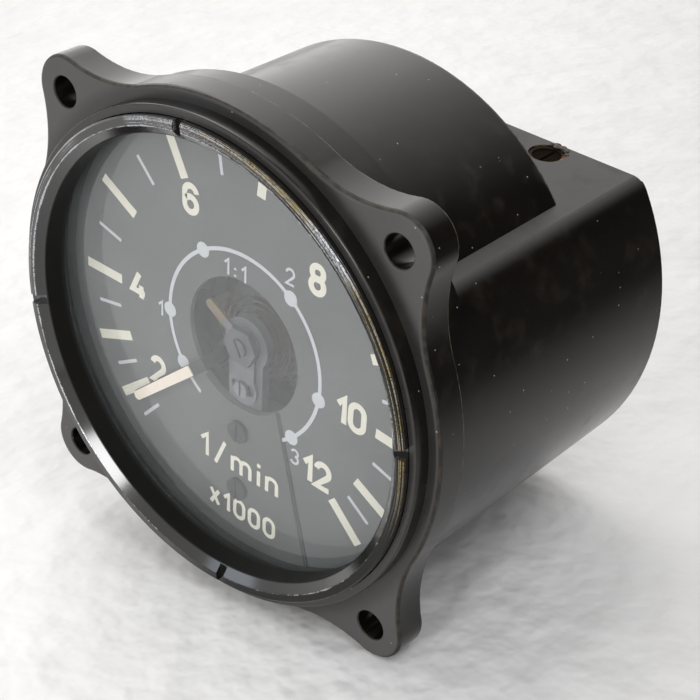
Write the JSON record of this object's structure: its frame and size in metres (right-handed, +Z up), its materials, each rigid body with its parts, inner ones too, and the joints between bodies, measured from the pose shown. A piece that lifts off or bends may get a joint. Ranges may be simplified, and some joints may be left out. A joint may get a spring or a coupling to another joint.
{
  "type": "aircraft tachometer",
  "caption": "Panel tachometer indicator in a moulded case with four mounting ears, a threaded glass ring, a long round scale and a sprung pointer; terminals at the rear.",
  "frame": {"origin": "middle of the four panel holes on the front face of the flange, on the dial's axis", "axes": "+Y into the instrument along the dial's axis, +Z up, +X right as seen by the reader of the dial"},
  "size_m": [0.0862, 0.067, 0.0862],
  "materials": {
    "bakelite": "satin gloss moulded phenolic resin, worn brown at the edges",
    "ring_lacquer": "black lacquer worn to bare metal along edges and notches",
    "clear_glass": "plain polished window glass",
    "black_rubber": "matte black rubber",
    "dial_black": "matte black paint with pale printed scale",
    "plate_black": "matte black paint",
    "pointer_black": "matte black paint",
    "lume": "aged cream luminous fill",
    "brass": "turned brass, slightly tarnished",
    "spring_bronze": "rolled bronze ribbon",
    "steel": "turned steel",
    "light_alloy": "machined light alloy",
    "soft_iron": "blued soft iron",
    "magnet_alloy": "ground magnet alloy",
    "copper_wire": "enamelled copper wire",
    "resistance_wire": "silk covered resistance wire",
    "bound_board": "resin bonded board",
    "oxide_disc": "copper oxide discs",
    "seal_red": "red brown sealing lacquer",
    "wire_sleeve": "lacquered cotton sleeve"
  },
  "bodies": {
    "root": {"case": "bakelite", "rear_cover": "bakelite", "retaining_ring": "ring_lacquer", "glass": "clear_glass", "glass_gasket": "black_rubber", "cover_gasket": "black_rubber", "dial": "dial_black", "spacer_ring": "dial_black", "sector_plate": "plate_black", "sector_plate_screws": "plate_black", "front_lock_nut": "brass", "rear_lock_nut": "brass", "rear_spring_stud": "brass", "rectifier_washers": "brass", "terminal_studs": "brass", "terminal_nuts": "brass", "terminal_washers": "brass", "terminal_plate_screws": "brass", "front_jewel_screw": "steel", "rear_jewel_screw": "steel", "zero_lever_screw": "steel", "stop_pins": "steel", "bridge_post_screws": "steel", "base_plate_screws": "steel", "rear_bridge_screws": "steel", "resistor_screw": "steel", "rectifier_bolt": "steel", "cover_screws": "steel", "front_bridge": "light_alloy", "bridge_post": "light_alloy", "base_plate": "light_alloy", "rear_bridge": "light_alloy", "inner_pole": "soft_iron", "ring_core": "soft_iron", "core_bracket": "soft_iron", "magnet": "magnet_alloy", "resistor_winding": "resistance_wire", "resistor_bobbin": "bound_board", "terminal_plate": "bound_board", "rectifier_discs": "oxide_disc", "seal_lacquer": "seal_red", "lead_wires": "wire_sleeve"},
    "moving_system": {"staff": "steel", "pointer": "pointer_black", "pointer_lume": "lume", "balance_weight": "brass", "front_collet": "brass", "rear_collet": "brass", "front_hairspring": "spring_bronze", "rear_hairspring": "spring_bronze", "coil_arm": "light_alloy", "coil_former": "light_alloy", "coil_winding": "copper_wire"},
    "zero_arm": {"zero_lever": "light_alloy"}
  },
  "joints": [
    {"name": "pointer_swing", "type": "hinge", "parent": "root", "child": "moving_system", "pos_m": [0, 0, 0], "axis": [0, 1, 0], "range_deg": [-6, 266], "stiffness_Nm_per_rad": 0.000001, "deforming": ["front_hairspring", "rear_hairspring"]},
    {"name": "zero_adjust", "type": "hinge", "parent": "root", "child": "zero_arm", "pos_m": [0, 0, 0], "axis": [0, 1, 0], "range_deg": [-8, 8]}
  ]
}
